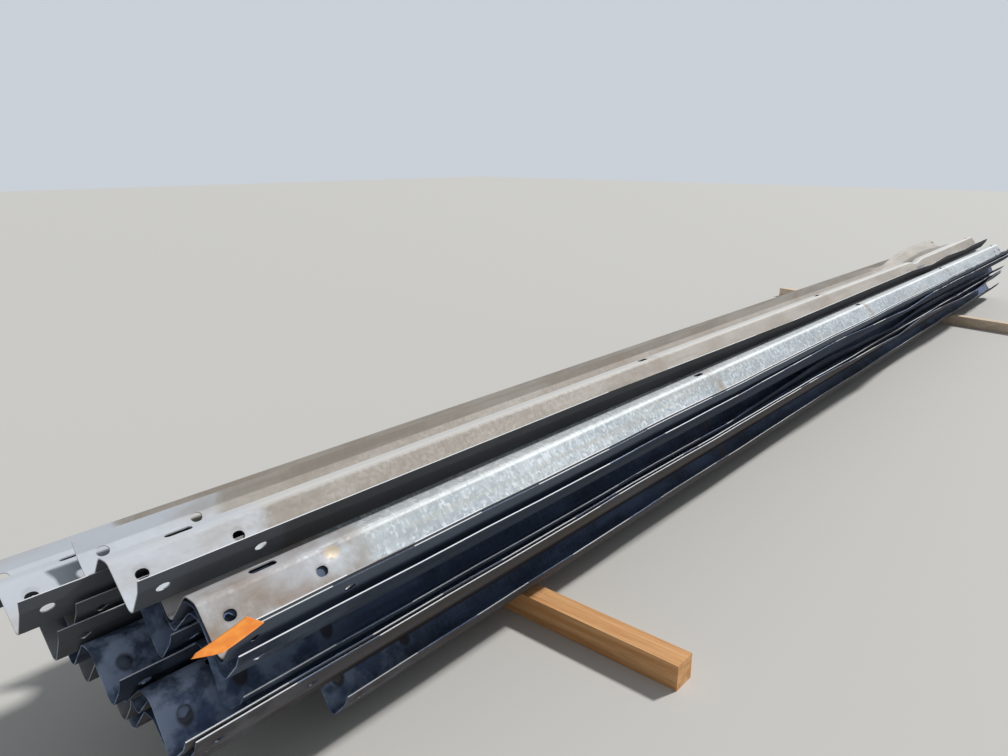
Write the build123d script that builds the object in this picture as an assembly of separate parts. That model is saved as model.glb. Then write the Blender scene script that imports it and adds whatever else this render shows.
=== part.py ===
# A pile of used W-beam highway guardrail sections, laid open side up on two
# squared timber bearers, with a paper lot tag on the top front section.
#
# Working frame: X runs along the sections from the near end, Y to the back,
# Z up. Its origin is the first post slot of the top front section, at the
# middle of the sheet on the centre ridge. The finished parts are moved to the
# middle of the footprint, at the underside of the bearers.
import math
import os

from build123d import *

# The guardrail section
SHEET = 2.8            # sheet thickness
LENGTH = 7938.0        # overall length
RIDGE_HALF = 20.0      # half width of the centre ridge, at the sharp corner
VALLEY_IN = 88.0       # inner corner of the valley, from the middle
VALLEY_OUT = 105.0     # outer corner of the valley
DEPTH = 83.0           # depth of the valleys under the ridge
LIP_Y = 146.0          # where the outer leg turns steeper
LIP_Z = -0.34 * DEPTH
EDGE_Y = 156.0         # outer edge of the sheet
RIDGE_R = 22.0         # bend radii at the middle of the sheet
VALLEY_R = 15.0
LIP_R = 12.0
RIDGE_FLAT_COUNT = 3   # short flats that make up each bend
BEND_FLAT_COUNT = 2
LIP_FLAT_COUNT = 1

# The slots
POST_FIRST = 159.0     # first post slot, from the end
POST_COUNT = 5
POST_SPACING = (LENGTH - 2 * POST_FIRST) / (POST_COUNT - 1)
POST_WIDTH = 19.0
POST_SLOT = 64.0       # end to end, along the section
SPLICE_ROWS = (51.0, 267.0)  # rows of splice slots, from each end
SPLICE_WIDTH = 23.0
SPLICE_SLOT = 29.0
NEAR_FLAT_COUNT = 6    # short flats that make up a slot's round end
FEW_FLAT_COUNT = 2     # the same at the far end and inside the pile
STATED_SLOTS = (0, 4)  # post slots of the top section with true round ends
SPLICE_Z = -0.45 * DEPTH     # height of the splice slots in slopes and legs

# Bent stretches: share of the length from the near end, share of the bends left in the
# back half, degrees by which the front leg is turned inwards
STRAIGHT = [
    (1.0, 1.0, 0.0),
]
FLATTENED_BACK = [
    (0.20, 1.0, 0.0),
    (0.40, 1.0, -9.0),
    (0.668, 1.0, -4.0),
    (0.737, 0.78, -12.0),
    (0.800, 0.42, 0.0),
    (0.876, 0.28, -6.0),
    (0.922, 0.45, 0.0),
    (0.955, 1.0, 0.0),
    (1.0, 1.0, 0.0),
]
WAVY_NESTED = [
    (0.20, 1.0, 0.0),
    (0.42, 1.0, 8.0),
    (0.55, 1.0, -7.0),
    (0.635, 1.0, 6.0),
    (0.80, 1.0, 4.0),
    (1.0, 1.0, 0.0),
]
WAVY_THIRD = [
    (0.27, 1.0, 0.0),
    (0.41, 1.0, 23.0),
    (0.55, 1.0, 3.0),
    (0.64, 1.0, 20.0),
    (0.76, 1.0, 16.0),
    (1.0, 1.0, 0.0),
]
WAVY_FIFTH = [
    (0.42, 1.0, 0.0),
    (0.57, 1.0, -12.0),
    (0.65, 1.0, 2.0),
    (0.76, 1.0, -13.0),
    (0.85, 1.0, -20.0),
    (0.955, 1.0, 0.0),
    (1.0, 1.0, 0.0),
]
TEAR_LENGTH = 34.0     # torn corner of the top front section
TEAR_WIDTH = 9.0

# The bearers
BEARER = 76.0          # squared timber
NEAR_BEARER_X = 894.0
NEAR_BEARER_FRONT = -520.0
NEAR_BEARER_BACK = 900.0
FAR_BEARER_X = 0.8327 * LENGTH
FAR_BEARER_MID_Y = 560.0
FAR_BEARER_LENGTH = 2134.0
FAR_BEARER_ANGLE = -13.0
SEAT = 0.3             # clearance where one piece rests on another

# The lot tag
TAG_LENGTH = 138.0
TAG_WIDTH = 36.0
TAG_THICK = 0.6
TAG_X = -181.0         # middle of the tag, it hangs past the near end
TAG_Y = -170.5
TAG_ANGLE = 15.0

# Where each section lies: x of the first post slot and y of the centre ridge, then, in
# section depths, the height of the ridge and how much higher the back edge is than the front one
PLACES = {
    "rail_top_front": (0.0, 0.0, 0.0000, 0.0000),
    "rail_nested_upper": (-2.0, 0.0, -0.1120, 0.0000),
    "rail_nested_lower": (5.0, -1.2, -0.4855, 0.3885),
    "rail_top_middle": (-69.0, 208.5, 0.4361, -0.3256),
    "rail_top_back": (-214.0, 408.6, -0.3976, -0.5819),
    "rail_second_back": (-117.0, 404.3, -0.7554, -0.1313),
    "rail_second_middle": (-16.0, 219.5, -1.0614, 0.2629),
    "rail_third_back": (-158.0, 403.2, -1.4060, -0.3951),
    "rail_third_front": (33.0, 46.3, -1.7602, 1.0072),
    "rail_third_middle": (-118.0, 232.5, -1.8386, 0.0000),
    "rail_fourth_front": (-87.0, 51.2, -2.2892, 0.5618),
    "rail_fifth_front": (-69.0, 50.3, -2.5892, 0.1970),
    "rail_fourth_back": (-68.0, 330.8, -3.3133, 0.0000),
    "rail_sixth_front": (-53.0, 135.1, -3.6675, 0.0000),
    "rail_bottom_front": (315.0, 108.0, -4.5060, 0.2958),
    "rail_bottom_back": (290.0, 424.0, -4.4819, -0.3951),
    "rail_leaning_back": (200.0, 546.0, -2.1325, 0.9372),
}

OPEN_TO_VIEW = ("rail_top_back", "rail_third_middle", "rail_fourth_front")

# height of the sheet's upper corner over the mid-line's end, where the leg is cut square
EDGE_RISE = SHEET / 2 * (EDGE_Y - LIP_Y) / math.hypot(EDGE_Y - LIP_Y, LIP_Z)


def mirrored(half):
    """Whole profile from its half: the y < 0 side first."""
    left = []
    for y, z in reversed(half[1:]):
        left.append((-y, z))
    if half[0][0] > 0:
        left.append((-half[0][0], half[0][1]))
    return left + list(half)


# corners of half the mid-line of the sheet, from the ridge outwards
HALF = [
    (RIDGE_HALF, 0.0),
    (VALLEY_IN, -DEPTH),
    (VALLEY_OUT, -DEPTH),
    (LIP_Y, LIP_Z),
    (EDGE_Y, 0.0),
]
CORNERS = mirrored(HALF)
HALF_RADII = [RIDGE_R, VALLEY_R, VALLEY_R, LIP_R]
RADII = HALF_RADII[::-1] + HALF_RADII


def unit(a, b):
    """Unit vector from a to b."""
    dy = b[0] - a[0]
    dz = b[1] - a[1]
    size = math.hypot(dy, dz)
    return (dy / size, dz / size)


def offset_corners(points, side):
    """Corners of the line that runs at a distance beside the given one."""
    out = []
    for i in range(len(points)):
        before = unit(points[i - 1], points[i]) if i > 0 else None
        after = unit(points[i], points[i + 1]) if i < len(points) - 1 else None
        u = before or after
        v = after or before
        ny = -(u[1] + v[1])
        nz = u[0] + v[0]
        size = math.hypot(ny, nz)
        ny = ny / size
        nz = nz / size
        miter = side / (-u[1] * ny + u[0] * nz)
        out.append((points[i][0] + ny * miter, points[i][1] + nz * miter))
    return out


def bend_sign(points, i):
    """+1 where the line turns left at corner i, -1 where it turns right."""
    u = unit(points[i - 1], points[i])
    v = unit(points[i], points[i + 1])
    return 1.0 if u[0] * v[1] - u[1] * v[0] > 0 else -1.0


def flats_of(radius):
    """Number of short flats for a bend of about this radius."""
    if radius > VALLEY_R + SHEET:
        return RIDGE_FLAT_COUNT
    if abs(radius - LIP_R) <= SHEET / 2:
        return LIP_FLAT_COUNT
    return BEND_FLAT_COUNT


def bent_line(points, radii):
    """Points of a line whose inner corners are bent in short flats."""
    out = [points[0]]
    for i in range(1, len(points) - 1):
        u = unit(points[i - 1], points[i])
        v = unit(points[i], points[i + 1])
        turn = math.acos(u[0] * v[0] + u[1] * v[1])
        reach = radii[i - 1] * math.tan(turn / 2)
        flats = flats_of(radii[i - 1])
        left = bend_sign(points, i)
        cy = points[i][0] - u[0] * reach - u[1] * left * radii[i - 1]
        cz = points[i][1] - u[1] * reach + u[0] * left * radii[i - 1]
        start = math.atan2(-u[0] * left, u[1] * left)
        for k in range(flats + 1):
            angle = start + left * turn * k / flats
            out.append((cy + radii[i - 1] * math.cos(angle),
                        cz + radii[i - 1] * math.sin(angle)))
    out.append(points[-1])
    return out


def bent_corners(back_share, front_turn):
    """Corners of the mid-line with its y > 0 half partly unbent and its y < 0 leg turned inwards."""
    out = CORNERS[:-len(HALF)] + [HALF[0]]
    foot = out[2]
    turn = math.radians(front_turn)
    for i in range(2):
        dy = out[i][0] - foot[0]
        dz = out[i][1] - foot[1]
        out[i] = (foot[0] + dy * math.cos(turn) + dz * math.sin(turn),
                  foot[1] - dy * math.sin(turn) + dz * math.cos(turn))
    for i in range(len(HALF) - 1):
        dy = HALF[i + 1][0] - HALF[i][0]
        dz = HALF[i + 1][1] - HALF[i][1]
        angle = math.atan2(dz, dy) * back_share
        size = math.hypot(dy, dz)
        out.append((out[-1][0] + size * math.cos(angle), out[-1][1] + size * math.sin(angle)))
    return out


def section_face(x, corners=CORNERS):
    """Cross-section of the sheet, square to X at the distance x from the near end."""
    signs = []
    for i in range(1, len(corners) - 1):
        signs.append(bend_sign(corners, i))
    upper = offset_corners(corners, SHEET / 2)
    lower = offset_corners(corners, -SHEET / 2)
    upper_r = [r - s * SHEET / 2 for r, s in zip(RADII, signs)]
    lower_r = [r + s * SHEET / 2 for r, s in zip(RADII, signs)]
    outline = bent_line(upper, upper_r) + bent_line(lower, lower_r)[::-1]
    points = [(x - POST_FIRST, y, z) for y, z in outline]
    return make_face(Polyline(*points, close=True))


def slot_outline(length, width, flats):
    """Corners of a slot along X whose ends are made of short flats."""
    out = []
    for end in (1, -1):
        for k in range(flats + 1):
            angle = math.radians(-90 + 180 * k / flats)
            x = end * ((length - width) / 2 + width / 2 * math.cos(angle))
            out.append((x, end * width / 2 * math.sin(angle)))
    return out


def slot_cutter(x, y, z, tilt, length, width, flats):
    """Slot along X at a point of the sheet, square to the sheet there."""
    if flats:
        flat = make_face(Polyline(*slot_outline(length, width, flats), close=True))
    else:
        flat = SlotOverall(length, width)
    block = extrude(flat, amount=SHEET * 3, both=True)
    return Location((x, y, z), (tilt, 0, 0)) * block


def point_at(y1, z1, y2, z2, z):
    """Y on the straight between two corners, at a height."""
    return y1 + (y2 - y1) * (z - z1) / (z2 - z1)


def splice_row(row, flats):
    """Cutters for four slots in a row, at a distance from the near end."""
    inner_y = point_at(RIDGE_HALF, 0, VALLEY_IN, -DEPTH, SPLICE_Z)
    outer_y = point_at(VALLEY_OUT, -DEPTH, LIP_Y, LIP_Z, SPLICE_Z)
    inner_tilt = math.degrees(math.atan2(-DEPTH, VALLEY_IN - RIDGE_HALF))
    outer_tilt = math.degrees(math.atan2(LIP_Z + DEPTH, LIP_Y - VALLEY_OUT))
    out = []
    for side in (-1, 1):
        for y, tilt in ((inner_y, inner_tilt), (outer_y, outer_tilt)):
            out.append(slot_cutter(row - POST_FIRST, side * y, SPLICE_Z, side * tilt,
                                   SPLICE_SLOT, SPLICE_WIDTH, flats))
    return out


def guardrail(near_flats, far_flats, stated_slots=(), stations=STRAIGHT, splice_rows=SPLICE_ROWS):
    """One section, its first post slot at the origin.

    The flats make up the round ends of the slots at the near end and of all others, save the
    stated post slots, which have true arcs. The sheet is lofted through the stations of its shape.
    """
    faces = [section_face(0)]
    for share, bends, turn in stations:
        faces.append(section_face(share * LENGTH, bent_corners(bends, turn)))
    body = loft(faces, ruled=True)
    cutters = []
    for row in splice_rows:
        cutters += splice_row(row, near_flats)
        cutters += splice_row(LENGTH - row, far_flats)
    for i in range(POST_COUNT):
        flats = far_flats if i > 0 else near_flats
        cutters.append(slot_cutter(i * POST_SPACING, 0, 0, 0, POST_SLOT, POST_WIDTH,
                                   0 if i in stated_slots else flats))
    return body - cutters


def corner_tear():
    """Wedge that the top section lacks at its near front corner."""
    tip = -EDGE_Y - SHEET
    side = Polyline((-POST_FIRST - SHEET, tip, 0), (-POST_FIRST + TEAR_LENGTH, tip, 0),
                    (-POST_FIRST - SHEET, tip + TEAR_WIDTH + SHEET, 0), close=True)
    return extrude(make_face(side), amount=SHEET * 10, both=True)


def place(name):
    """Place of a laid section: x, y and z of its ridge, and its roll in degrees."""
    x, y, height, rise = PLACES[name]
    return x, y, height * DEPTH, math.degrees(math.atan(rise * DEPTH / (2 * EDGE_Y)))


def lowest_point(name):
    """Height of the underside of a laid section's lowest valley."""
    x, y, z, roll = place(name)
    a = math.radians(roll)
    low = 0.0
    for yy in (-VALLEY_OUT, -VALLEY_IN, VALLEY_IN, VALLEY_OUT):
        reach = VALLEY_R * math.tan(math.radians(25))
        shift = reach if abs(yy) < VALLEY_OUT else -reach
        flat_y = math.copysign(abs(yy) + shift, yy)
        low = min(low, flat_y * math.sin(a) - DEPTH * math.cos(a))
    return z + low - SHEET / 2


bearer_top = min(lowest_point("rail_bottom_front"), lowest_point("rail_bottom_back")) - SEAT
bearer_base = bearer_top - BEARER

near_end = min(row[0] for row in PLACES.values()) - POST_FIRST
far_end = max(row[0] for row in PLACES.values()) - POST_FIRST + LENGTH
skew = math.radians(abs(FAR_BEARER_ANGLE))
far_reach = (FAR_BEARER_LENGTH * math.cos(skew) + BEARER * math.sin(skew)) / 2
front = min(NEAR_BEARER_FRONT, FAR_BEARER_MID_Y - far_reach)
back = FAR_BEARER_MID_Y + far_reach
origin = Location((-(near_end + far_end) / 2, -(front + back) / 2, -bearer_base))

parts = {}
inner_rail = guardrail(FEW_FLAT_COUNT, FEW_FLAT_COUNT, splice_rows=SPLICE_ROWS[:1])
open_rail = guardrail(NEAR_FLAT_COUNT, FEW_FLAT_COUNT)
rails = {
    "rail_top_front": guardrail(NEAR_FLAT_COUNT, FEW_FLAT_COUNT, STATED_SLOTS) - corner_tear(),
    "rail_nested_lower": guardrail(FEW_FLAT_COUNT, FEW_FLAT_COUNT, (), WAVY_NESTED, SPLICE_ROWS[:1]),
    "rail_top_middle": guardrail(NEAR_FLAT_COUNT, FEW_FLAT_COUNT, (), FLATTENED_BACK),
    "rail_third_front": guardrail(FEW_FLAT_COUNT, FEW_FLAT_COUNT, (), WAVY_THIRD, SPLICE_ROWS[:1]),
    "rail_fifth_front": guardrail(NEAR_FLAT_COUNT, FEW_FLAT_COUNT, (), WAVY_FIFTH),
}
for name in OPEN_TO_VIEW:
    rails[name] = open_rail
for name in PLACES:
    x, y, z, roll = place(name)
    parts[name] = Location((x, y, z), (roll, 0, 0)) * rails.get(name, inner_rail)

bar_z = bearer_top - BEARER / 2
near_length = NEAR_BEARER_BACK - NEAR_BEARER_FRONT
near_mid_y = (NEAR_BEARER_BACK + NEAR_BEARER_FRONT) / 2
near_bar = Box(BEARER, near_length, BEARER)
parts["bearer_near"] = Location((NEAR_BEARER_X, near_mid_y, bar_z)) * near_bar
far_bar = Box(BEARER, FAR_BEARER_LENGTH, BEARER)
parts["bearer_far"] = Location((FAR_BEARER_X, FAR_BEARER_MID_Y, bar_z),
                               (0, 0, FAR_BEARER_ANGLE)) * far_bar

# the tag lies across the upper edge of the top section's front leg
tag = Box(TAG_LENGTH, TAG_WIDTH, TAG_THICK)
tag_z = EDGE_RISE + SEAT + TAG_THICK / 2
parts["lot_tag"] = Location((TAG_X, TAG_Y, tag_z), (0, 0, TAG_ANGLE)) * tag

os.makedirs("parts", exist_ok=True)
for name, shape in parts.items():
    solid = origin * shape
    solid.label = name
    export_step(solid, "parts/" + name + ".step")
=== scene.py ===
# %% [markdown]
# # A pile of used highway guardrail sections
#
# The imported parts give every section its exact W-beam shape, its slots and its place in the pile.
# This lesson gives them their looks: the bends that years at the roadside left in the thin legs,
# hot-dip zinc in six finishes, three of them states of weathering and three painted with the shade
# they lie in, rough-sawn bearers and a lot tag of orange card.

import bmesh
import bpy
import numpy as np
from mathutils import Matrix, Vector


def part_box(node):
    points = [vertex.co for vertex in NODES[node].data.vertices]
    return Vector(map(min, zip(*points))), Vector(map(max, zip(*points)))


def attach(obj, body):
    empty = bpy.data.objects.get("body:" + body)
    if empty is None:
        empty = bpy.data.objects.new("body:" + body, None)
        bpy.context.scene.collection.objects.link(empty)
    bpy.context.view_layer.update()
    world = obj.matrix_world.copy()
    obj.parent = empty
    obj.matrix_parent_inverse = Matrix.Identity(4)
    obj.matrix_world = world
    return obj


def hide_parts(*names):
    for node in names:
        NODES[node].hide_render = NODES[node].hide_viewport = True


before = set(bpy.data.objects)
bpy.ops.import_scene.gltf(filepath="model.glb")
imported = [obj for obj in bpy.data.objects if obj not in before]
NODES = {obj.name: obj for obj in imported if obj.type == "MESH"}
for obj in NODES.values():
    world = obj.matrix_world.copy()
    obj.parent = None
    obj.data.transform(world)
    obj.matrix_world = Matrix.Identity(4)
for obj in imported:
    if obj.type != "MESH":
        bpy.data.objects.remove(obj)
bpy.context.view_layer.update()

# %% [markdown]
# ## The viewing angle
#
# The camera stands a step off the near end, at about chest height. It could be aimed at a target,
# but three measured directions also settle how level it is held: its right, its down and its
# forward side in the frame of the pile. A lens of 27.71 mm on a 36 mm sensor gives the wide look
# along the sections.

# %% Camera
RIGHT = (0.65326535, -0.75712742, 0.00156466)
DOWN = (-0.21047169, -0.18358371, -0.96020763)
FORWARD = (0.72728677, 0.62694106, -0.27928277)
CAMERA_AT = (-4.61557, -1.8503, 1.36399)
LENS_MM = 27.71
SENSOR_MM = 36.0
NEAREST, FARTHEST = 0.05, 200.0

camera_data = bpy.data.cameras.new("camera")
camera_data.lens = LENS_MM
camera_data.sensor_width = SENSOR_MM
camera_data.clip_start = NEAREST
camera_data.clip_end = FARTHEST
camera = bpy.data.objects.new("camera", camera_data)
bpy.context.collection.objects.link(camera)
turn = np.array([RIGHT, [-v for v in DOWN], [-v for v in FORWARD]]).T
camera.matrix_world = Matrix.Translation(CAMERA_AT) @ Matrix(turn.tolist()).to_4x4()
bpy.context.scene.camera = camera
print("camera at", CAMERA_AT, "lens", LENS_MM, "mm")

# %% [markdown]
# ## Colour and node helpers
#
# Colours are written as sRGB hex and turned linear by one function, because shaders work in linear
# light. Materials could be joined up by hand in the node editor. Here one small helper adds a node,
# sets its plain values and joins its inputs, so that every pattern can be read as a formula.


# %% Helpers
def linear(text):
    """Linear RGBA of an sRGB hex colour: low values are divided, the others raised to 2.4."""
    c = np.array([int(text[i : i + 2], 16) for i in (0, 2, 4)]) / 255
    c = np.where(c <= 0.04045, c / 12.92, ((c + 0.055) / 1.055) ** 2.4)
    return (*c.tolist(), 1.0)


def add(tree, kind, settings=None, **inputs):
    """A new node of this kind: settings are its properties, inputs are values or sockets.

    An input goes by its name, or by the letter i and its number.
    """
    node = tree.nodes.new(kind)
    for key, value in (settings or {}).items():
        setattr(node, key, value)
    for key, value in inputs.items():
        numbered = key[0] == "i" and key[1:].isdigit()
        socket = node.inputs[int(key[1:]) if numbered else key]
        if isinstance(value, bpy.types.NodeSocket):
            tree.links.new(value, socket)
        else:
            socket.default_value = value
    return node


def material(name):
    """An empty procedural material: (material, tree, shader, Object coordinates)."""
    made = bpy.data.materials.new(name)
    made.use_nodes = True
    tree = made.node_tree
    tree.nodes.clear()
    shader = tree.nodes.new("ShaderNodeBsdfPrincipled")
    out = tree.nodes.new("ShaderNodeOutputMaterial")
    tree.links.new(shader.outputs[0], out.inputs[0])
    place = tree.nodes.new("ShaderNodeTexCoord").outputs["Object"]
    return made, tree, shader, place


def paint(obj, made):
    """The object wears this one material."""
    obj.data.materials.clear()
    obj.data.materials.append(made)


print("mid grey in linear light:", round(linear("808080")[0], 3))


# %% Pattern helpers
def stretched(tree, place, x, y, z):
    """The coordinates scaled along each axis, so that a pattern runs long or short."""
    return add(tree, "ShaderNodeMapping", i0=place, i3=(x, y, z)).outputs[0]


def noise(tree, place, per_metre, detail=4.0, rough=0.55):
    """Noise with this many features per metre."""
    return add(tree, "ShaderNodeTexNoise", Vector=place, Scale=per_metre, Detail=detail,
               Roughness=rough).outputs[0]


def band(tree, value, low, high):
    """Smooth step of a value from 0 at low to 1 at high."""
    smooth_step = {"interpolation_type": "SMOOTHSTEP"}
    return add(tree, "ShaderNodeMapRange", smooth_step, i0=value, i1=low, i2=high).outputs[0]


def worked(tree, kind, a, b=0.0):
    """Two values joined by this operation, such as ADD, SUBTRACT or MAXIMUM."""
    return add(tree, "ShaderNodeMath", {"operation": kind}, i0=a, i1=b).outputs[0]


def times(tree, a, b):
    """Product of two values."""
    return worked(tree, "MULTIPLY", a, b)


def one_minus(tree, value):
    """1 minus the value."""
    return worked(tree, "SUBTRACT", 1.0, value)


def squares(tree, a, b):
    """Sum of the squares of two values."""
    return worked(tree, "ADD", times(tree, a, a), times(tree, b, b))


def mixed(tree, share, a, b):
    """Colour a turning into colour b by the share."""
    return add(tree, "ShaderNodeMix", {"data_type": "RGBA"}, i0=share, i6=a, i7=b).outputs[2]


def over(tree, skin, share, colour):
    """The skin with a hex colour laid over it by the share."""
    return mixed(tree, share, skin, linear(colour))


def bumped(tree, height, metres, strength=1.0):
    """Surface direction shaken by a height pattern of this depth."""
    return add(tree, "ShaderNodeBump", Height=height, Distance=metres, Strength=strength).outputs[0]


print("pattern helpers: noise, band, over and bumped")

# %% [markdown]
# ## Stains that follow the sheet
#
# Road dirt lies in long streaks, warm stains gather at the near end, a brown band marks the crease
# beyond each post slot, and rust rings the splice holes. All of them follow the sheet, wherever it
# leans. They could be painted on an unwrapped surface. Here each mesh carries its own coordinates
# instead, because distances in metres put a stain exactly at its slot: "sheet" holds the distance s
# along the section and t across it, "under" is 1 on faces that look down, which get a painted
# shade, and "cut" is 1 on the sheared edges of the sheet, which get a painted highlight.


# %% Stains that follow the sheet
POST_SPACING = 1.905
POST_FIRST = 0.159
SPLICE_ROWS = (0.051, 0.267)
SPLICE_INNER = 0.0506
HOLE_RADIUS = 0.0125
RING_WIDE = 0.009
SLOPE_STRETCH = 1.58
BAND_PAST = 0.062
BAND_HALF = 0.055
BAND_CORE = 0.2
DENT_S = 0.309
DENT_T = -0.033
DENT_SPOT = (0.026, 0.011)


def carried(tree, name, output="Fac"):
    """What the mesh carries under this name."""
    return add(tree, "ShaderNodeAttribute", {"attribute_name": name}).outputs[output]


def sheet_place(tree):
    """The values s and t of a point of the sheet."""
    split = add(tree, "ShaderNodeSeparateXYZ", i0=carried(tree, "sheet", "Vector"))
    return split.outputs[0], split.outputs[1]


def slot_band(tree, s):
    """A band across the sheet beyond each post slot: 1 at BAND_PAST, 0 at BAND_HALF off that."""
    shifted = worked(tree, "ADD", s, POST_SPACING / 2 - POST_FIRST - BAND_PAST)
    off = worked(tree, "SUBTRACT", worked(tree, "MODULO", shifted, POST_SPACING), POST_SPACING / 2)
    off = worked(tree, "ABSOLUTE", off)
    return one_minus(tree, band(tree, off, BAND_CORE * BAND_HALF, BAND_HALF))


def hole_ring(tree, s, t, row):
    """A stain round one hole in a slope: 1 at its edge, fading over RING_WIDE.

    The slope stands at 51 degrees, so a step in t is SLOPE_STRETCH times as long on the sheet.
    """
    ds = worked(tree, "SUBTRACT", s, row)
    dt = worked(tree, "SUBTRACT", worked(tree, "ABSOLUTE", t), SPLICE_INNER)
    away = worked(tree, "SQRT", squares(tree, ds, times(tree, dt, SLOPE_STRETCH)))
    return one_minus(tree, band(tree, away, HOLE_RADIUS, HOLE_RADIUS + RING_WIDE))


def dent_spot(tree, s, t):
    """A rubbed oval on the dent: 1 in its middle, 0 where s and t are DENT_SPOT off."""
    ds = times(tree, worked(tree, "SUBTRACT", s, DENT_S), 1 / DENT_SPOT[0])
    dt = times(tree, worked(tree, "SUBTRACT", t, DENT_T), 1 / DENT_SPOT[1])
    return one_minus(tree, band(tree, squares(tree, ds, dt), 0.3, 1.0))


print("stains: rings at", SPLICE_ROWS, "m, bands every", POST_SPACING, "m")

# %% [markdown]
# ## Hot-dip zinc
#
# New zinc is a bright metal with spangles, flat crystals some 9 mm across that each reflect a
# little differently. Years outdoors turn its skin into a chalky carbonate, which spreads the light
# as paint does. The finish could be pure metal or pure paint, and real zinc lies between, so these
# materials are only partly metallic and rather rough. One function lays the stains over the skin
# one by one, from the clouds of the zinc to the painted shade on the faces that look down. It also
# paints light into the colour: a glint on some crystals, a sheen along the ridge and a highlight on
# the sheared edges.


# %% Zinc skin
SPANGLES_PER_METRE = 110.0
GLINT = "eef2f5"
FLECK = "7f8990"
CREST_SHEEN = "dcdad6"
CHALK = "c4c9d0"
CREASE_BROWN = "927d69"
RING_RUST = "3d342f"
DENT_TAN = "d9c19b"
EDGE_HIGHLIGHT = "eceef0"
RAGGED = 0.16
CREST_FADES = (0.016, 0.030)
BANDS_FROM = (0.8, 1.2)
ROUGH_SPREAD = 0.12
ROUGH_UNDER = 0.3


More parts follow.
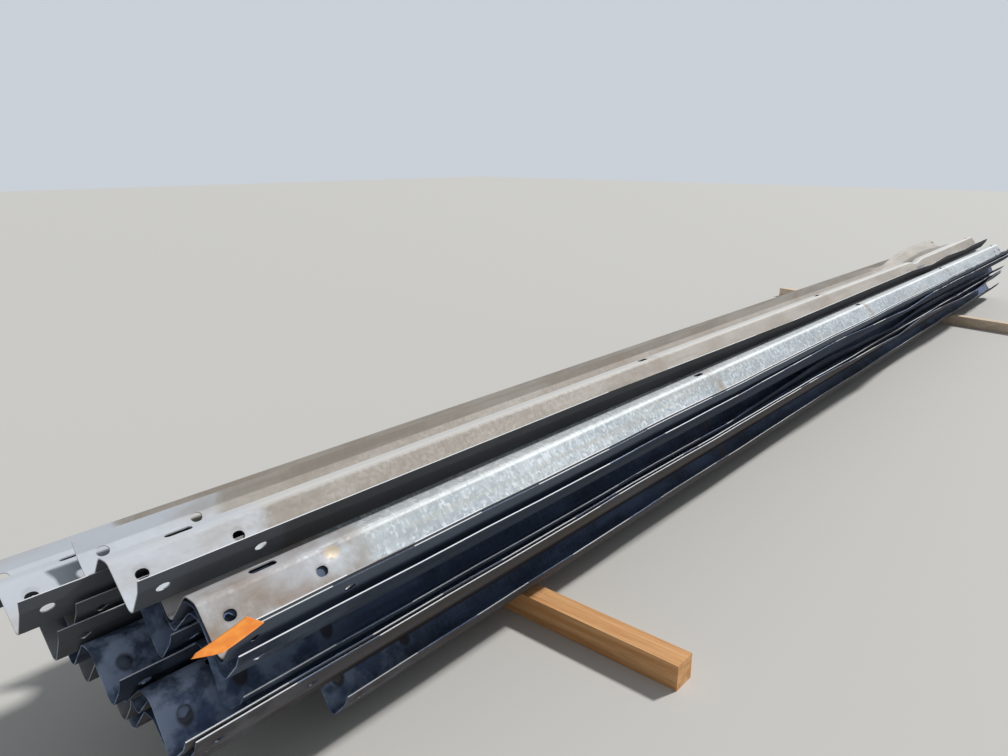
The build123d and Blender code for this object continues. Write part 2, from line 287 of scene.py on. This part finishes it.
def zinc(name, bright, dull, warm, streak, painted_shade, *, spangle, metal, near, chalky, crease, rough,
         near_to=(0.33, 0.45), near_tones=(0.22, 0.66), chalky_to=(0.30, 0.38),
         chalky_tones=(0.30, 0.60), crest=0.0, ringed=0.15, gloss=0.5, dented=False):
    """Weathered hot-dip galvanised sheet steel.

    bright and dull are two cloudy tones of the skin, warm the stain at the near end, streak the
    dirt and painted_shade the painted shade laid on the faces that look down. The shares say how
    much the crystals show, with a painted glint on some of them (spangle), how metallic the skin
    still is (metal), and how strong the stain and the chalk at the near end (near, chalky), the
    painted sheen on the ridge (crest), the stains at the creases (crease) and the rings round the
    holes (ringed) are. The pairs ending in to say where a stain begins and ceases to fade, and the
    pairs ending in tones how sharp its clouds are. rough and gloss are the roughness and the
    specular level.
    """
    made, tree, shader, place = material(name)
    s, t = sheet_place(tree)
    cloudy = noise(tree, stretched(tree, place, 0.7, 2.2, 2.2), 3.5, 5.0, 0.6)
    patches = noise(tree, place, 14.0, 5.0, 0.6)
    streaks = noise(tree, stretched(tree, place, 0.22, 7.0, 7.0), 5.0, 6.0, 0.65)
    runs = noise(tree, stretched(tree, place, 30.0, 4.0, 4.0), 3.0, 4.0, 0.6)
    crystals = add(tree, "ShaderNodeTexVoronoi", Vector=place, Scale=SPANGLES_PER_METRE,
                   Randomness=1.0)
    tone = add(tree, "ShaderNodeSeparateColor", i0=crystals.outputs["Color"]).outputs[0]
    ragged = worked(tree, "ADD", s, times(tree, worked(tree, "SUBTRACT", patches, 0.5), RAGGED))
    beyond = band(tree, ragged, *near_to)

    skin = mixed(tree, band(tree, cloudy, 0.38, 0.62), linear(bright), linear(dull))
    # Painted glint: crystals of high tone are laid over in near white, as where they catch the
    # light.
    shown = times(tree, band(tree, runs, 0.35, 0.6), spangle)
    sparkle = times(tree, times(tree, band(tree, tone, 0.35, 1.0), shown), beyond)
    skin = over(tree, skin, sparkle, GLINT)
    flecks = times(tree, one_minus(tree, band(tree, tone, 0.10, 0.40)), 0.9 * spangle)
    skin = over(tree, skin, times(tree, flecks, beyond), FLECK)
    skin = over(tree, skin, times(tree, band(tree, streaks, 0.45, 0.72), 0.6), streak)
    # Painted sheen: the ridge is lightened along its crest, where the light glances off it.
    on_crest = one_minus(tree, band(tree, worked(tree, "ABSOLUTE", t), *CREST_FADES))
    skin = over(tree, skin, times(tree, on_crest, crest), CREST_SHEEN)

    stain = times(tree, band(tree, patches, *near_tones), near)
    stain = times(tree, one_minus(tree, beyond), stain)
    skin = over(tree, skin, stain, warm)
    chalk = times(tree, band(tree, cloudy, *chalky_tones), chalky)
    chalk = times(tree, one_minus(tree, band(tree, ragged, *chalky_to)), chalk)
    skin = over(tree, skin, chalk, CHALK)
    bar = times(tree, slot_band(tree, s), times(tree, band(tree, patches, 0.25, 0.65), crease))
    bar = times(tree, bar, band(tree, s, *BANDS_FROM))
    skin = over(tree, skin, bar, CREASE_BROWN)
    rings = [hole_ring(tree, s, t, row) for row in SPLICE_ROWS]
    skin = over(tree, skin, times(tree, worked(tree, "MAXIMUM", *rings), ringed), RING_RUST)
    if dented:
        skin = over(tree, skin, times(tree, dent_spot(tree, s, t), 0.6), DENT_TAN)
    # Painted shade: the faces that look down, or out from a leg, are laid over with a dark colour
    # that stands for the shade they lie in.
    under = carried(tree, "under")
    skin = over(tree, skin, times(tree, under, 0.85), painted_shade)
    # Painted highlight: the narrow sheared edges that look up are painted near white, where the sun
    # catches them.
    cut = carried(tree, "cut")
    skin = over(tree, skin, times(tree, cut, 0.9), EDGE_HIGHLIGHT)
    tree.links.new(skin, shader.inputs["Base Color"])

    # The stains, the faces in painted shade and the painted edge highlights are less metallic, and
    # the faces in painted shade are rougher.
    stained = worked(tree, "MAXIMUM", stain, bar)
    stains_shade_edges = worked(tree, "MAXIMUM", stained, worked(tree, "MAXIMUM", under, cut))
    metal_share = one_minus(tree, times(tree, stains_shade_edges, 0.8))
    tree.links.new(times(tree, metal_share, metal), shader.inputs["Metallic"])
    matt = add(tree, "ShaderNodeMapRange", i0=tone, i1=0.0, i2=1.0, i3=rough,
               i4=rough + ROUGH_SPREAD)
    rough_in_shade = worked(tree, "ADD", matt.outputs[0], times(tree, under, ROUGH_UNDER))
    tree.links.new(rough_in_shade, shader.inputs["Roughness"])
    shader.inputs["Specular IOR Level"].default_value = gloss
    grain = noise(tree, place, 160.0, 3.0)
    tree.links.new(bumped(tree, grain, 0.0001, 0.3), shader.inputs["Normal"])
    return made


print("spangles:", round(1000 / SPANGLES_PER_METRE), "mm across")

# %% [markdown]
# ## Six finishes
#
# The top front section is still bright. Its neighbours have gone warm grey. Those that lie in shade
# are painted blue grey, slate and muddy: their dark blue tones are painted shade with the sky
# mirrored in it. One material could be tinted for each section, but named finishes keep sections of
# one age alike.

# %% Zinc finishes
# Finishes for sections in shade: their dark blue grey tones are painted shade with the sky mirrored
# in it, and the muddy one has a brown-grey painted shade on the faces that look down.
SHADED = {"spangle": 0.06, "metal": 0.30, "near": 0.85, "near_to": (0.12, 0.40),
          "near_tones": (0.40, 0.60), "chalky": 0.05, "crease": 0.30, "ringed": 0.80,
          "rough": 0.50, "gloss": 0.25}
ZINC_BRIGHT = zinc("zinc_spangled", "acb3b6", "99a1a5", "8a7664", "a09a90", "3a4048",
                   spangle=0.50, metal=0.30, near=1.00, near_to=(0.34, 0.43), chalky=0.50,
                   chalky_to=(0.30, 0.40), crest=0.40, crease=0.65, rough=0.50, dented=True)
ZINC_WORN = zinc("zinc_warm_grey", "a39c92", "92897e", "a0907e", "8a8176", "343a42",
                 spangle=0.04, metal=0.10, near=0.10, near_to=(0.28, 0.36), chalky=0.90,
                 chalky_to=(0.29, 0.35), chalky_tones=(0.14, 0.56), crest=0.75, crease=0.35,
                 rough=0.56)
ZINC_PAINTED_SHADE_BLUE = zinc("zinc_painted_shade_blue_grey", "5f7292", "36455f", "a6b6d0", "47546c", "1c232f", **SHADED)
ZINC_PAINTED_SHADE_SLATE = zinc("zinc_painted_shade_slate", "44516a", "2c384d", "5d6b84", "3c475a", "59616d",
                  **(SHADED | {"near": 0.50}))
ZINC_PAINTED_SHADE_MUDDY = zinc("zinc_painted_shade_muddy", "5f7292", "36455f", "a6b6d0", "4d525e", "4c443c",
                  **(SHADED | {"rough": 0.52}))
ZINC_PLAIN = zinc("zinc_dull_grey", "9aa0a6", "7d848c", "97928b", "857f78", "43454a",
                  spangle=0.12, metal=0.30, near=0.40, chalky=0.30, crest=0.3, crease=0.30,
                  ringed=0.40, rough=0.50)
print("zinc finishes:", ", ".join(made.name for made in bpy.data.materials if "zinc" in made.name))

# %% [markdown]
# ## Timber and card
#
# The bearers are rough-sawn softwood: growth rings drawn out along the length and saw marks across
# it. The near one is still orange-brown, the far one bleached by the sun. The lot tag is faded
# orange card. A picture of a plank could be wrapped round a bearer, but stretched noise runs
# through the whole block, so that its end and its sides fit together.


# %% Timber and card
def timber(name, early, late, fibre):
    """Rough-sawn softwood with its grain along Y: stretched noise, and a fine bump for the saw.

    early and late are the two tones of the growth rings and fibre the dark streaks.
    """
    made, tree, shader, place = material(name)
    rings = noise(tree, stretched(tree, place, 14.0, 0.5, 14.0), 3.0, 5.0, 0.6)
    fibres = noise(tree, stretched(tree, place, 60.0, 2.0, 60.0), 6.0, 4.0)
    saw = noise(tree, stretched(tree, place, 6.0, 110.0, 6.0), 2.0, 3.0)
    tone = mixed(tree, band(tree, rings, 0.35, 0.65), linear(early), linear(late))
    shade = over(tree, tone, times(tree, band(tree, fibres, 0.5, 0.75), 0.5), fibre)
    tree.links.new(shade, shader.inputs["Base Color"])
    shader.inputs["Roughness"].default_value = 0.85
    rough = worked(tree, "ADD", fibres, times(tree, saw, 0.5))
    tree.links.new(bumped(tree, rough, 0.0012), shader.inputs["Normal"])
    return made


def card():
    """Faded orange card: rough and slightly mottled."""
    made, tree, shader, place = material("card_orange")
    mottle = band(tree, noise(tree, place, 45.0, 4.0), 0.35, 0.65)
    tone = mixed(tree, mottle, linear("f59a3c"), linear("ea8430"))
    tree.links.new(tone, shader.inputs["Base Color"])
    shader.inputs["Roughness"].default_value = 0.7
    return made


TIMBER = timber("timber_rough_sawn", "e6b27c", "cb9158", "9c6639")
BLEACHED = timber("timber_bleached", "efdcc6", "dbc4a8", "a89272")
CARD = card()
for name, wood in (("bearer_near", TIMBER), ("bearer_far", BLEACHED)):
    paint(NODES[name], wood)
print("materials:", len(bpy.data.materials))

# %% [markdown]
# ## Years at the roadside
#
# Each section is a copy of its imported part, cut into short lengths and then bent. A chain of bend
# modifiers could do it, but a field says it more exactly: a function that tells how far every point
# of the sheet moves, worked out for all points at once. Fields also add up. A point's place in its
# section is the distance s along it and the distance t across it. The front leg starts at the
# valley, 105 mm from the ridge, and ends 156 mm from it.

# %% Bend fields
VALLEY = 0.105
EDGE = 0.156
RIPPLE = 0.0012
RIPPLE_WAY = (0.0, 1.0, 0.45)
SLOPE_IN = (0.0, 0.77, -0.64)
CREASE_PAST = 0.065
CREASE_HALF = 0.022
CREASES_FROM = (0.8, 1.0)
DENT_HALF = (0.018, 0.009)
DENT_DEEP = 0.005
UP = (0.0, 0.0, 1.0)


def smooth(low, high, x):
    """Smooth step: 0 below low, 1 above high, 3q2 - 2q3 between."""
    q = np.clip((x - low) / (high - low), 0.0, 1.0)
    return q * q * (3 - 2 * q)


def bell(x, middle, width):
    """Bell curve: e to the minus square of the distance from the middle in widths."""
    return np.exp(-(((x - middle) / width) ** 2))


def moved(amount, way):
    """One move for each point: its own amount times a common direction."""
    return amount[:, None] * np.array(way)


def leg_ripple(s, t):
    """The front leg sways in and out and a little up and down.

    The ripple is a sum of three sines whose lengths share no common measure. It starts at the
    valley and grows to its full size at the front edge of the sheet.
    """
    waves = np.sin(2 * np.pi * s / 1.37 + 0.6) + 0.6 * np.sin(2 * np.pi * s / 0.83 + 2.1)
    waves = waves + 0.35 * np.sin(2 * np.pi * s / 0.41 + 4.0)
    return moved(waves * smooth(VALLEY - 0.005, EDGE, -t) * RIPPLE, RIPPLE_WAY)


def slot_creases(s, t, metres):
    """A shallow crease across the front slope just beyond each post slot but the first."""
    past = np.mod(s - POST_FIRST + 0.5 * POST_SPACING, POST_SPACING) - 0.5 * POST_SPACING
    dip = bell(past, CREASE_PAST, CREASE_HALF) * smooth(0.0, 0.02, -t)
    dip = dip * (1 - smooth(0.06, 0.09, -t))
    return moved(dip * smooth(*CREASES_FROM, s) * metres, SLOPE_IN)


def dent(s, t):
    """A long dent pushed into the front slope: a bell along s times a bell along t."""
    push = bell(s, DENT_S, DENT_HALF[0]) * bell(t, DENT_T, DENT_HALF[1])
    return moved(push * DENT_DEEP, SLOPE_IN)


print("ripple", RIPPLE * 1000, "mm, dent", DENT_DEEP * 1000, "mm")

# %% [markdown]
# ## Which field bends which section
#
# The top front section has the dent, and the top middle one was driven over at its far end. The
# sections below are held straight by the load, so they only share the ripple. Every section could
# have a field of its own, but only these three are open to view along their whole length.


# %% Fields of the sections
CREASE = 0.004
CREASE_TOP = 0.005


def plain_field(s, t):
    """A hardly bent section: only the slight ripple that its neighbours share."""
    return leg_ripple(s, t)


def top_field(s, t):
    """Slight ripple, slot creases and one dent near the end."""
    return leg_ripple(s, t) + slot_creases(s, t, CREASE_TOP) + dent(s, t)


def creased_field(s, t):
    """Slot creases only."""
    return slot_creases(s, t, CREASE)


def crushed_field(s, t):
    """The far end of the top middle section, where something has driven over it.

    Its back half leans by a share of t: down as a bell at the fourth post slot, up beyond it in a
    smooth step, and down again at the end. The ridge dips at that slot and rises to the end.
    """
    lean = 0.11 * smooth(6.3, 6.75, s) * (1 - smooth(7.40, 7.50, s)) - 0.20 * bell(s, 5.85, 0.30)
    tipped = np.clip(t, 0, None) * (lean - 0.45 * smooth(7.42, 7.54, s))
    dip = -0.026 * bell(s, 6.02, 0.10) * (1 - smooth(0.09, 0.15, np.abs(t)))
    rise = smooth(6.2, 8.6, s) * (0.014 + 0.018 * smooth(-0.12, 0.0, t))
    return slot_creases(s, t, CREASE) + moved(tipped + dip + rise, UP)


FIELDS = {
    "rail_top_front": top_field,
    "rail_top_middle": crushed_field,
    "rail_top_back": creased_field,
}
print("fields of their own:", ", ".join(FIELDS))

# %% [markdown]
# ## Faces to colour
#
# Two sorts of faces need a colour of their own. The sheared edges along the legs are as narrow as
# the sheet is thick, and those that look up get a painted highlight. The shaded faces look down, or
# outwards from a leg, and get a painted shade. Both could be picked by hand, but a rule of width,
# place and direction finds them on all sections alike.

# %% Faces to colour
CUT_WIDTH = 0.0031


def face_corners(mesh):
    """The point at every corner of a face, and the place in that list where each face starts."""
    corners = np.empty(len(mesh.loops), dtype=np.int32)
    mesh.loops.foreach_get("vertex_index", corners)
    starts = np.empty(len(mesh.polygons), dtype=np.int32)
    mesh.polygons.foreach_get("loop_start", starts)
    return corners, starts


def sheared_faces(mesh, points, across, facing):
    """Which faces are the sheared edge of a leg.

    They are no wider across the section than the sheet is thick, lie outside the valleys and
    look up and away from the middle.
    """
    corners, starts = face_corners(mesh)
    profile = points[corners, 1:]
    extents = np.maximum.reduceat(profile, starts) - np.minimum.reduceat(profile, starts)
    narrow = np.hypot(extents[:, 0], extents[:, 1]) < CUT_WIDTH
    t = across[corners[starts]]
    outward = facing[:, 1] * np.sign(t) > -0.15
    return narrow & outward & (np.abs(t) > VALLEY + 0.007) & (facing[:, 2] > 0.7)


def shaded_faces(mesh, across, facing):
    """Which faces look down, or outwards from a leg that has been turned up."""
    corners, starts = face_corners(mesh)
    t = across[corners[starts]]
    outward = (facing[:, 1] * np.sign(t) > 0.8) & (np.abs(t) > VALLEY - 0.005)
    return (facing[:, 2] < -0.05) | outward


print("sheared edges are under", CUT_WIDTH * 1000, "mm wide")

# %% [markdown]
# ## The sections and their places
#
# The bright section lies on top, the warm grey ones beside it, and the muddy ones, in painted
# shade, near the ground.
# Their places could be measured on the imported parts, but one table is easier to read: y of each
# ridge in millimetres from the top front one, roll in degrees, and the finish.

# %% Table of the sections
PILE_MID_Y = 0.5441
SECTIONS = (
    ("rail_top_front", 0.0, 0.0, ZINC_BRIGHT),
    ("rail_nested_upper", 0.0, 0.0, ZINC_PAINTED_SHADE_SLATE),
    ("rail_nested_lower", -1.2, 5.9, ZINC_PAINTED_SHADE_BLUE),
    ("rail_top_middle", 208.5, -4.95, ZINC_WORN),
    ("rail_top_back", 408.6, -8.8, ZINC_WORN),
    ("rail_second_back", 404.3, -2.0, ZINC_PLAIN),
    ("rail_second_middle", 219.5, 4.0, ZINC_PAINTED_SHADE_BLUE),
    ("rail_third_back", 403.2, -6.0, ZINC_PLAIN),
    ("rail_third_front", 46.3, 15.0, ZINC_PAINTED_SHADE_BLUE),
    ("rail_third_middle", 232.5, 0.0, ZINC_PAINTED_SHADE_BLUE),
    ("rail_fourth_front", 51.2, 8.5, ZINC_PAINTED_SHADE_MUDDY),
    ("rail_fifth_front", 50.3, 3.0, ZINC_PAINTED_SHADE_MUDDY),
    ("rail_fourth_back", 330.8, 0.0, ZINC_PLAIN),
    ("rail_sixth_front", 135.1, 0.0, ZINC_PAINTED_SHADE_MUDDY),
    ("rail_bottom_front", 108.0, 4.5, ZINC_PAINTED_SHADE_MUDDY),
    ("rail_bottom_back", 424.0, -6.0, ZINC_PLAIN),
    ("rail_leaning_back", 546.0, 14.0, ZINC_PLAIN),
)
RIDGE_Y = {name: y_mm / 1000 - PILE_MID_Y for name, y_mm, roll, finish in SECTIONS}
ROLL = {name: roll for name, y_mm, roll, finish in SECTIONS}
print("sections:", len(SECTIONS))

# %% [markdown]
# ## A slot through two legs
#
# Behind a leg slot of the top front section, the section nested under it is open too, so that light
# shows through both. A dark or light patch could stand for it, but only a real hole shows the
# ground behind from every side. A boolean takes a short prism out of the leg.

# %% Leg slot
DENTED = "rail_top_front"
SLOTTED = "rail_nested_upper"
LEG_SLOT = (-0.1392, -0.03735)
LEG_SLOT_ROUND = 0.0115
LEG_SLOT_APART = 0.003
LEG_SLOT_REACH = 0.012
LEG_SLOT_SIDES = 24
HALF_SHEET = 0.0014
LEG_UP = np.array([0.0, -0.599, 0.801])
LEG_OUT = np.array([0.0, -0.801, -0.599])


def slot_cutter():
    """A prism 29 x 23 mm wide, square to the leg, at the leg slot of the top front section.

    Its outline is a circle whose halves are moved apart along X, carried through the leg.
    """
    low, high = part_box(DENTED)
    at = np.array((low[0] + SPLICE_ROWS[1], RIDGE_Y[DENTED] + LEG_SLOT[0],
                   high[2] - HALF_SHEET + LEG_SLOT[1]))
    turn = np.linspace(0, 2 * np.pi, LEG_SLOT_SIDES, endpoint=False)
    apart = np.where(np.cos(turn) > 0, LEG_SLOT_APART, -LEG_SLOT_APART)
    along = LEG_SLOT_ROUND * np.cos(turn) + apart
    ring = at + along[:, None] * np.array([1.0, 0.0, 0.0])
    ring = ring + LEG_SLOT_ROUND * np.sin(turn)[:, None] * LEG_UP
    reach = LEG_SLOT_REACH * LEG_OUT
    k = np.arange(LEG_SLOT_SIDES)
    following = (k + 1) % LEG_SLOT_SIDES
    sides = np.stack([k, following, following + LEG_SLOT_SIDES, k + LEG_SLOT_SIDES], axis=1)
    ends = [k.tolist()[::-1], (k + LEG_SLOT_SIDES).tolist()]
    mesh = bpy.data.meshes.new("slot_cutter")
    mesh.from_pydata(np.concatenate([ring - reach, ring + reach]).tolist(), [],
                     sides.tolist() + ends)
    bm = bmesh.new()
    bm.from_mesh(mesh)
    bmesh.ops.recalc_face_normals(bm, faces=bm.faces)
    bm.to_mesh(mesh)
    bm.free()
    cutter = bpy.data.objects.new("slot_cutter", mesh)
    bpy.context.collection.objects.link(cutter)
    return cutter


def open_leg_slot(made):
    """Takes the prism out of this section."""
    cutter = slot_cutter()
    cut = made.modifiers.new("slot", "BOOLEAN")
    cut.object = cutter
    cut.operation = "DIFFERENCE"
    cut.solver = "EXACT"
    depsgraph = bpy.context.evaluated_depsgraph_get()
    opened = bpy.data.meshes.new_from_object(made.evaluated_get(depsgraph),
                                             preserve_all_data_layers=True, depsgraph=depsgraph)
    made.modifiers.remove(cut)
    made.data = opened
    bpy.data.objects.remove(cutter)
    print("slot opened:", made.name, len(opened.polygons), "faces")


SLOT_LONG, SLOT_HIGH = 2 * (LEG_SLOT_ROUND + LEG_SLOT_APART), 2 * LEG_SLOT_ROUND
print("leg slot:", round(SLOT_LONG * 1000), "x", round(SLOT_HIGH * 1000), "mm")

# %% [markdown]
# ## Bending the copies
#
# A long flat face can't bend, so each copy is cut across every 110 mm, and more closely where a
# crease or the dent needs points to move. Subdividing everything would do it too, with many times
# the faces. The points then move by their field, and the stains' coordinates are written.

# %% Bend the copies
CUT_EVERY = 0.11
CUT_LAST = 0.02
SHARP_DEGREES = 38
SAME_POINT = 1e-5
ON_PLANE = 1e-6
DENT_REACH = (0.2, 0.06)
SLOT_STATIONS = POST_FIRST + POST_SPACING * np.arange(5)
CREASE_CUTS = (SLOT_STATIONS[:, None] + np.array([0.035, 0.065, 0.095])[None, :]).ravel()


def cut_round_dent(bm, near_x):
    """Cuts across and along the sheet round the dent, so that it has points to move."""
    x, y = near_x + DENT_S, DENT_T - PILE_MID_Y
    for off in (-0.036, -0.024, -0.012, 0.0, 0.012, 0.024, 0.036):
        faces = [f for f in bm.faces if abs(f.calc_center_median().y - y) < DENT_REACH[1]
                 and x - DENT_REACH[0] < f.calc_center_median().x < x + DENT_REACH[0]]
        for direction, at in (((1, 0, 0), (x + off, 0, 0)), ((0, 1, 0), (0, y + off / 2, 0))):
            faces = [f for f in faces if f.is_valid]
            edges = list({e for f in faces for e in f.edges})
            verts = list({v for f in faces for v in f.verts})
            cut = bmesh.ops.bisect_plane(bm, geom=verts + edges + faces, dist=ON_PLANE,
                                         plane_co=at, plane_no=direction)
            faces = [g for g in cut["geom"] if isinstance(g, bmesh.types.BMFace)]


def cut_copy(name, extra_cuts):
    """The mesh of a packed section, cut across its length every CUT_EVERY and at extra places."""
    low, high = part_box(name)
    bm = bmesh.new()
    bm.from_mesh(NODES[name].data)
    bmesh.ops.remove_doubles(bm, verts=bm.verts, dist=SAME_POINT)
    plain_cuts = np.arange(CUT_EVERY, high[0] - low[0] - CUT_LAST, CUT_EVERY)
    for x in low[0] + np.sort(np.concatenate([plain_cuts, extra_cuts])):
        geom = bm.verts[:] + bm.edges[:] + bm.faces[:]
        bmesh.ops.bisect_plane(bm, geom=geom, dist=ON_PLANE, plane_co=(x, 0, 0),
                               plane_no=(1, 0, 0))
    if name == DENTED:
        cut_round_dent(bm, low[0])
    mesh = bpy.data.meshes.new(name + "_bent")
    bm.to_mesh(mesh)
    bm.free()
    return mesh


def carry(mesh, name, kind, domain, field, values):
    """The mesh carries these values under this name, for its points or its faces."""
    mesh.attributes.new(name, kind, domain).data.foreach_set(field, values.astype(float).ravel())


def bent_copy(name, field, extra_cuts=()):
    """A copy of a packed section, moved by its field and carrying its stains' coordinates."""
    mesh = cut_copy(name, extra_cuts)
    points = np.empty(len(mesh.vertices) * 3)
    mesh.vertices.foreach_get("co", points)
    points = points.reshape(-1, 3)
    across = (points[:, 1] - RIDGE_Y[name]) / np.cos(np.radians(ROLL[name]))
    along = points[:, 0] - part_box(name)[0][0]
    points += field(along, across)
    mesh.vertices.foreach_set("co", points.ravel())
    mesh.update()
    facing = np.empty(len(mesh.polygons) * 3)
    mesh.polygons.foreach_get("normal", facing)
    facing = facing.reshape(-1, 3)
    sheet = np.stack([along, across, np.zeros_like(along)], axis=1)
    carry(mesh, "sheet", "FLOAT_VECTOR", "POINT", "vector", sheet)
    carry(mesh, "under", "FLOAT", "FACE", "value", shaded_faces(mesh, across, facing))
    carry(mesh, "cut", "FLOAT", "FACE", "value", sheared_faces(mesh, points, across, facing))
    made = bpy.data.objects.new(name + "_bent", mesh)
    bpy.context.collection.objects.link(made)
    if name == SLOTTED:
        open_leg_slot(made)
    made.data.shade_smooth()
    made.data.set_sharp_from_angle(angle=np.radians(SHARP_DEGREES))
    even = made.modifiers.new("even_shading", "WEIGHTED_NORMAL")
    even.keep_sharp = True
    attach(made, "root")
    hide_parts(name)
    return made


for name, _, _, finish in SECTIONS:
    made = bent_copy(name, FIELDS.get(name, plain_field), CREASE_CUTS if name in FIELDS else ())
    paint(made, finish)
print("bent sections:", len(SECTIONS))

# %% [markdown]
# ## The lot tag
#
# A strip of bare orange card lies across the upper edge of the front leg. A flat box could stand
# for it, but card that has been rained on curls. So it is a surface over a grid, with u along it
# and v across it, and a modifier gives it the thickness of card.

# %% Lot tag
TAG_MID = (-4.0415, -0.7176)
TAG_LONG = 0.138
TAG_WIDE = 0.042
TAG_THICK = 0.0005
TAG_TURN = 0.262
TAG_SLANT = 0.012
TAG_TAPER = 0.35
TAG_CURL_NEAR = 0.005
TAG_CURL_FAR = 0.002
TAG_TWIST = 0.0008
TAG_GRID = (41, 13)


def tag_surface(u, v, z):
    """Card over u from -1 to 1 along it and v from -1 to 1 across it, lying at the height z.

    The near end is cut slantwise, so that the end starts later at the front edge. The card's height
    is z plus a curl that rises with the square of the way to either end, and a slight twist.
    """
    x = u * TAG_LONG / 2 + TAG_SLANT * (1 - v) * (1 - u) / 2
    y = v * TAG_WIDE / 2 * (1 - TAG_TAPER * smooth(0.72, 1.0, -u))
    height = z + TAG_CURL_NEAR * np.clip(-u - 0.25, 0, 1) ** 2
    height = height + TAG_CURL_FAR * np.clip(u - 0.3, 0, 1) ** 2 + TAG_TWIST * (u * v + 1) / 2
    turned_x = TAG_MID[0] + x * np.cos(TAG_TURN) - y * np.sin(TAG_TURN)
    turned_y = TAG_MID[1] + x * np.sin(TAG_TURN) + y * np.cos(TAG_TURN)
    return np.stack([turned_x, turned_y, height], axis=-1)


rows, columns = TAG_GRID
u, v = np.meshgrid(np.linspace(-1, 1, rows), np.linspace(-1, 1, columns), indexing="ij")
grid = tag_surface(u, v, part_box("lot_tag")[0][2] + TAG_THICK)
corner = (np.arange(rows - 1)[:, None] * columns + np.arange(columns - 1)[None, :]).ravel()
quads = np.stack([corner, corner + columns, corner + columns + 1, corner + 1], axis=1)
tag_mesh = bpy.data.meshes.new("tag_card")
tag_mesh.from_pydata(grid.reshape(-1, 3).tolist(), [], quads.tolist())
tag_mesh.shade_smooth()
tag = bpy.data.objects.new("tag_card", tag_mesh)
bpy.context.collection.objects.link(tag)
wall = tag.modifiers.new("thickness", "SOLIDIFY")
wall.thickness = TAG_THICK
wall.offset = -1.0
paint(tag, CARD)
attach(tag, "root")
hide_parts("lot_tag")
print("tag:", len(quads), "faces")

# %% [markdown]
# ## Floor and light
#
# A plain pale floor and soft light. The key light comes from the far end, rather high and a little
# from the front. It lights the ridges and troughs, while the outer faces of the front legs look
# down and stay in shade, as do the near ends of the lower sections. The sky could be one even
# strength, but it is brighter where it is seen or mirrored, so that dark zinc still shows sheen.

# %% Stage
WORLD_STRENGTH = 0.40
SHOWN_STRENGTH = 0.80
SUN_STRENGTH = 3.1
SUN_SPREAD = 0.10
SUN_TRAVELS = (-0.95, 0.36, -1.0)
FLOOR_SIZE = 60.0
FLOOR_Z = -0.0005

bpy.ops.mesh.primitive_plane_add(size=FLOOR_SIZE, location=(0, 0, FLOOR_Z))
floor = bpy.context.object
floor.name = "floor"
floor_material, _, shader, _ = material("floor_pale")
shader.inputs["Base Color"].default_value = linear("c9c6c0")
shader.inputs["Roughness"].default_value = 0.9
paint(floor, floor_material)

world = bpy.data.worlds.new("studio")
world.use_nodes = True
tree = world.node_tree
sky = tree.nodes["Background"]
sky.inputs[0].default_value = linear("dfe6ee")
path = add(tree, "ShaderNodeLightPath")
seen = worked(tree, "MAXIMUM", path.outputs["Is Camera Ray"], path.outputs["Is Glossy Ray"])
strength = add(tree, "ShaderNodeMapRange", i0=seen, i3=WORLD_STRENGTH, i4=SHOWN_STRENGTH)
tree.links.new(strength.outputs[0], sky.inputs[1])
bpy.context.scene.world = world

sun_data = bpy.data.lights.new("key", "SUN")
sun_data.energy = SUN_STRENGTH
sun_data.angle = SUN_SPREAD
sun = bpy.data.objects.new("key", sun_data)
bpy.context.collection.objects.link(sun)
sun.rotation_euler = Vector(SUN_TRAVELS).to_track_quat("-Z", "Y").to_euler()
bpy.context.scene.view_settings.view_transform = "Standard"
print("light: world", WORLD_STRENGTH, "key", SUN_STRENGTH, "along", SUN_TRAVELS)
